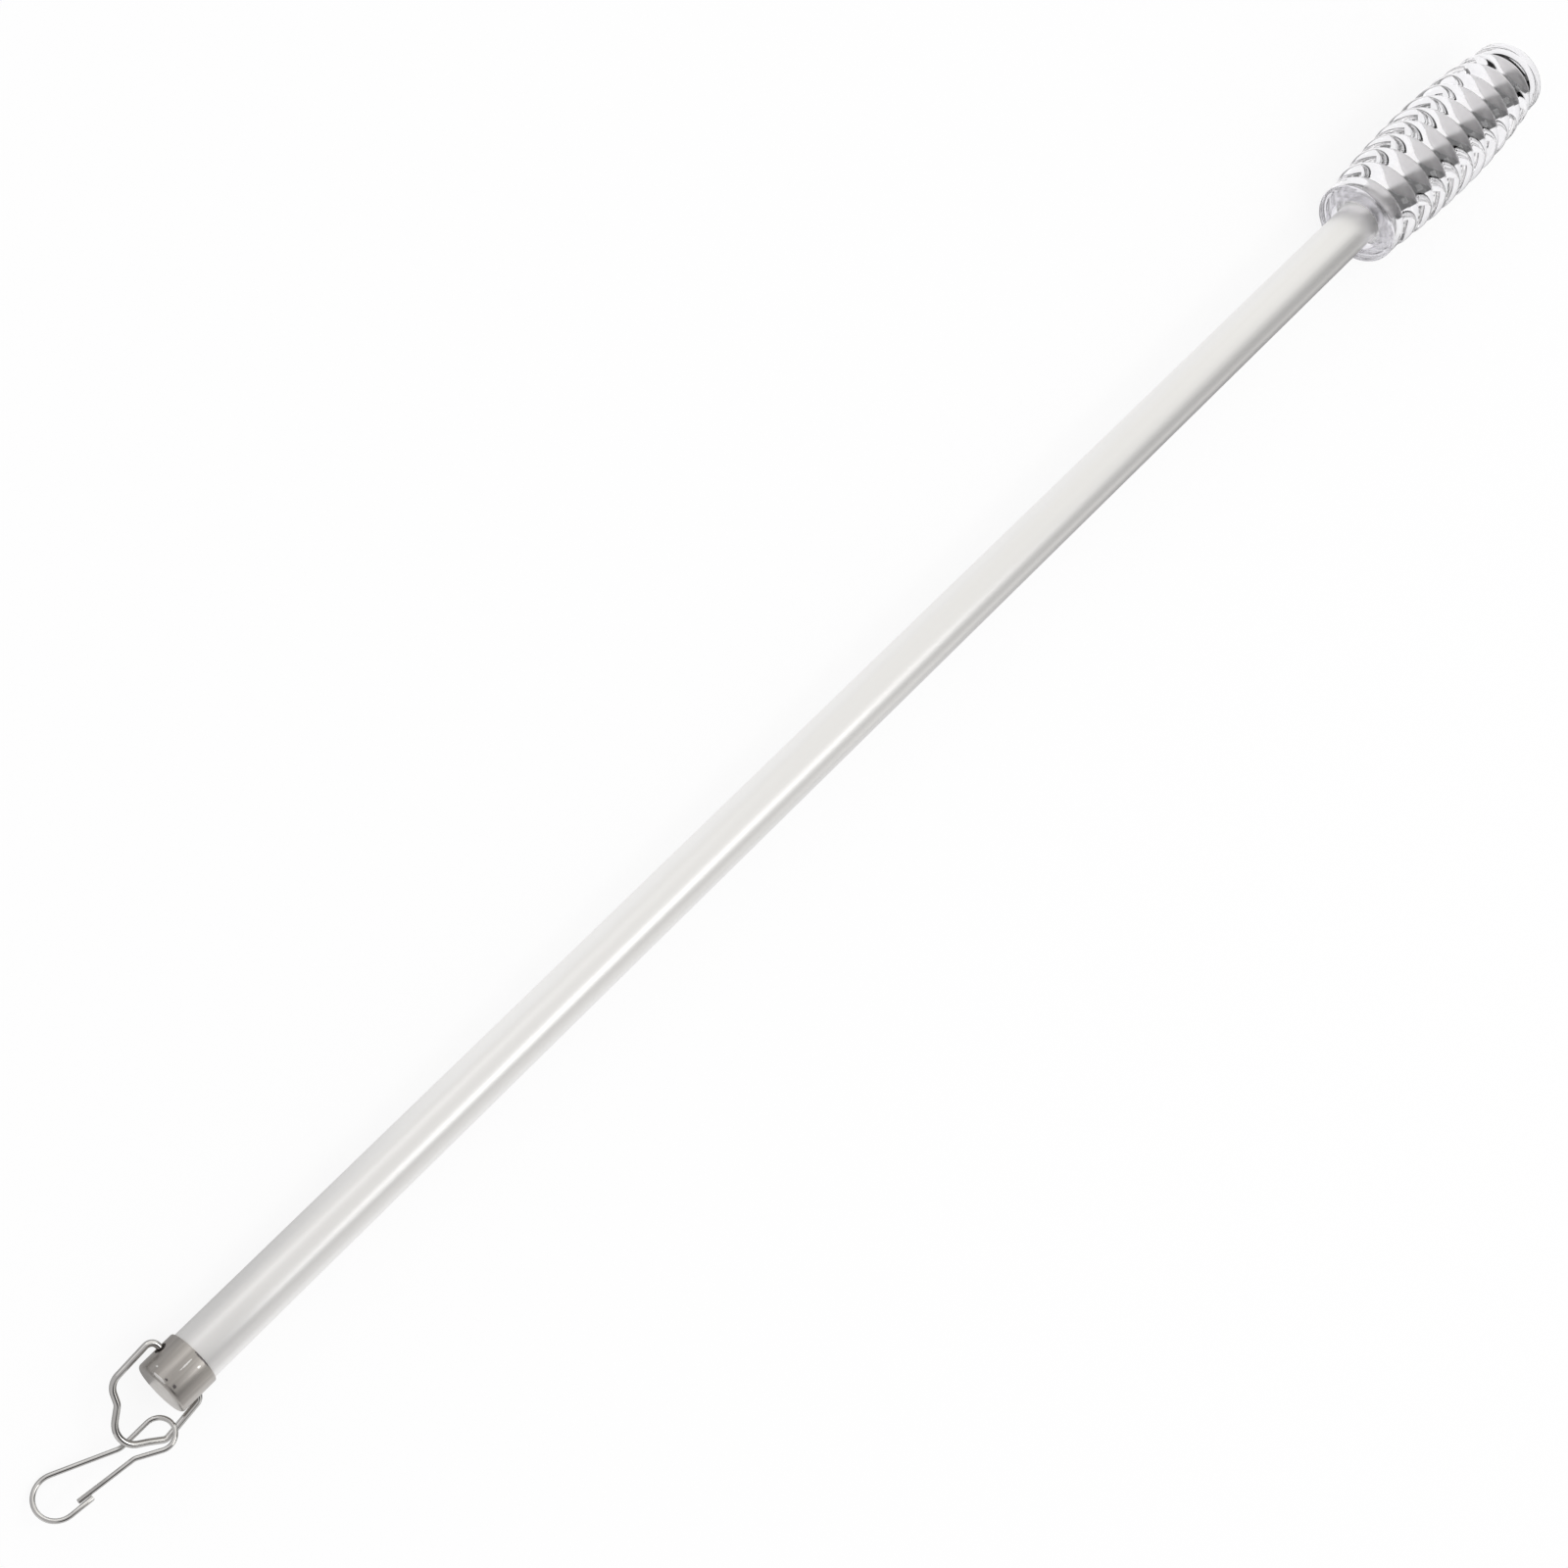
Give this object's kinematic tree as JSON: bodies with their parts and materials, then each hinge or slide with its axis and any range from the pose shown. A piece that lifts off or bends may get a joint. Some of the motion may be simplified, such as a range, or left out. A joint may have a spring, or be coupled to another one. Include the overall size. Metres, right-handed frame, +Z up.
{
  "type": "curtain wand",
  "caption": "Slim metal tube with a clear ribbed barrel grip on one end and, on the other, a plated cap with a swinging wire bail and a snap hook that clips to a curtain carrier.",
  "frame": {"origin": "on the surface the wand lies on, below the middle of its overall length", "axes": "+X along the tube from the hook to the grip, +Y along the bail's hinge, +Z up from the surface"},
  "size_m": [0.4626, 0.0234, 0.0235],
  "materials": {
    "tube": "satin, drawn lengthwise",
    "cap": "brushed nickel plate, lightly scratched",
    "wire": "bright nickel plate",
    "grip": "clear, polished"
  },
  "bodies": {
    "wand": {"rod_tube": "tube", "end_cap": "cap", "grip": "grip"},
    "bail": {"bail": "wire"},
    "hook": {"snap_hook": "wire"}
  },
  "joints": [
    {"name": "bail_swing", "type": "hinge", "parent": "wand", "child": "bail", "pos_m": [-0.19903, 0, 0.00551], "axis": [0, 1, 0], "range_deg": [-100, 100]},
    {"name": "hook_swing", "type": "hinge", "parent": "bail", "child": "hook", "pos_m": [-0.20983, -0.005, 0.00534], "axis": [0, -1, 0], "range_deg": [0, 60]}
  ]
}
